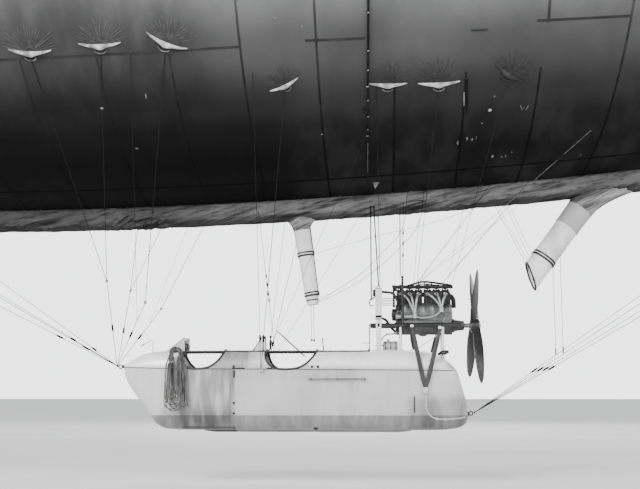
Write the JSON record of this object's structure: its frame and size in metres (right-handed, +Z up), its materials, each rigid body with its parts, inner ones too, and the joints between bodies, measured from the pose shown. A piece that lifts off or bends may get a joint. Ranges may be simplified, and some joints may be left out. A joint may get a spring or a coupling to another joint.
{
  "type": "airship, 1:2 scale model",
  "caption": "Non-rigid airship with an open boat-shaped car, an air duct under the belly, a pusher engine and propeller, and a hinged tail.",
  "frame": {"origin": "centre of buoyancy, on the envelope's axis, where the lifting gas holds the airship up in the air", "axes": "+X aft along the envelope, +Y to starboard, +Z up"},
  "size_m": [24.735, 5.105, 6.9945],
  "materials": {
    "canvas": "doped dark fabric, slightly glossy",
    "duct": "light creased canvas",
    "fin": "doped fabric over ribs",
    "car": "light grey paint, satin",
    "wood": "varnished",
    "cast_metal": "cast, oily",
    "dark_metal": "black enamel, worn",
    "leather": "worn",
    "glass": "clear sheet",
    "rope": "laid hemp",
    "steel": "galvanised, dull"
  },
  "bodies": {
    "airship": {"envelope": "canvas", "nose_cap": "fin", "belly_duct": "duct", "front_sleeve": "duct", "rear_scoop": "duct", "stabilizer_starboard": "fin", "stabilizer_port": "fin", "fin_lower": "fin", "fin_upper": "fin", "cowl_bow": "car", "cowl_middle": "car", "cowl_rear": "car", "car_bow": "car", "car_side_port": "car", "car_side_starboard": "car", "car_bottom": "car", "car_stern": "car", "keel_skid": "wood", "car_floor": "wood", "bulkhead_front": "wood", "bulkhead_rear": "wood", "panel_front": "dark_metal", "panel_middle": "dark_metal", "seat_front": "leather", "seat_middle": "leather", "seat_rear": "leather", "wheel_front": "wood", "wheel_middle": "wood", "windscreen_front": "glass", "windscreen_middle": "glass", "engine_frame": "dark_metal", "crankcase": "cast_metal", "cylinders": "cast_metal", "valve_gear": "dark_metal", "intake_pipes": "cast_metal", "exhaust_stack": "dark_metal", "radiator": "steel", "deck_tank": "cast_metal", "strut_port": "dark_metal", "strut_starboard": "dark_metal", "grab_rail_port": "dark_metal", "grab_rail_starboard": "dark_metal", "rope_hank": "rope", "rope_peg": "dark_metal", "bow_fitting": "dark_metal", "stern_fitting": "dark_metal", "stays_bow_port": "steel", "stays_bow_starboard": "steel", "stays_middle_port": "steel", "stays_middle_starboard": "steel", "stays_stern_port": "steel", "stays_stern_starboard": "steel"},
    "propeller": {"propeller": "wood"},
    "rudder": {"rudder": "fin"},
    "elevator_port": {"elevator_port": "fin"},
    "elevator_starboard": {"elevator_starboard": "fin"}
  },
  "joints": [
    {"name": "propeller_spin", "type": "hinge", "parent": "airship", "child": "propeller", "pos_m": [2.27, 0, -3.548], "axis": [1, 0, 0], "continuous": true},
    {"name": "rudder_swing", "type": "hinge", "parent": "airship", "child": "rudder", "pos_m": [12.8, 0, -1.4], "axis": [0, 0, 1], "range_deg": [-28, 28]},
    {"name": "elevator_port_tilt", "type": "hinge", "parent": "airship", "child": "elevator_port", "pos_m": [12.8, -1.38, 0], "axis": [0, 1, 0], "range_deg": [-25, 25]},
    {"name": "elevator_starboard_tilt", "type": "hinge", "parent": "airship", "child": "elevator_starboard", "pos_m": [12.8, 1.38, 0], "axis": [0, 1, 0], "range_deg": [-25, 25]}
  ],
  "couplings": [
    {"joint": "elevator_starboard_tilt", "follows": "elevator_port_tilt", "ratio": 1}
  ]
}
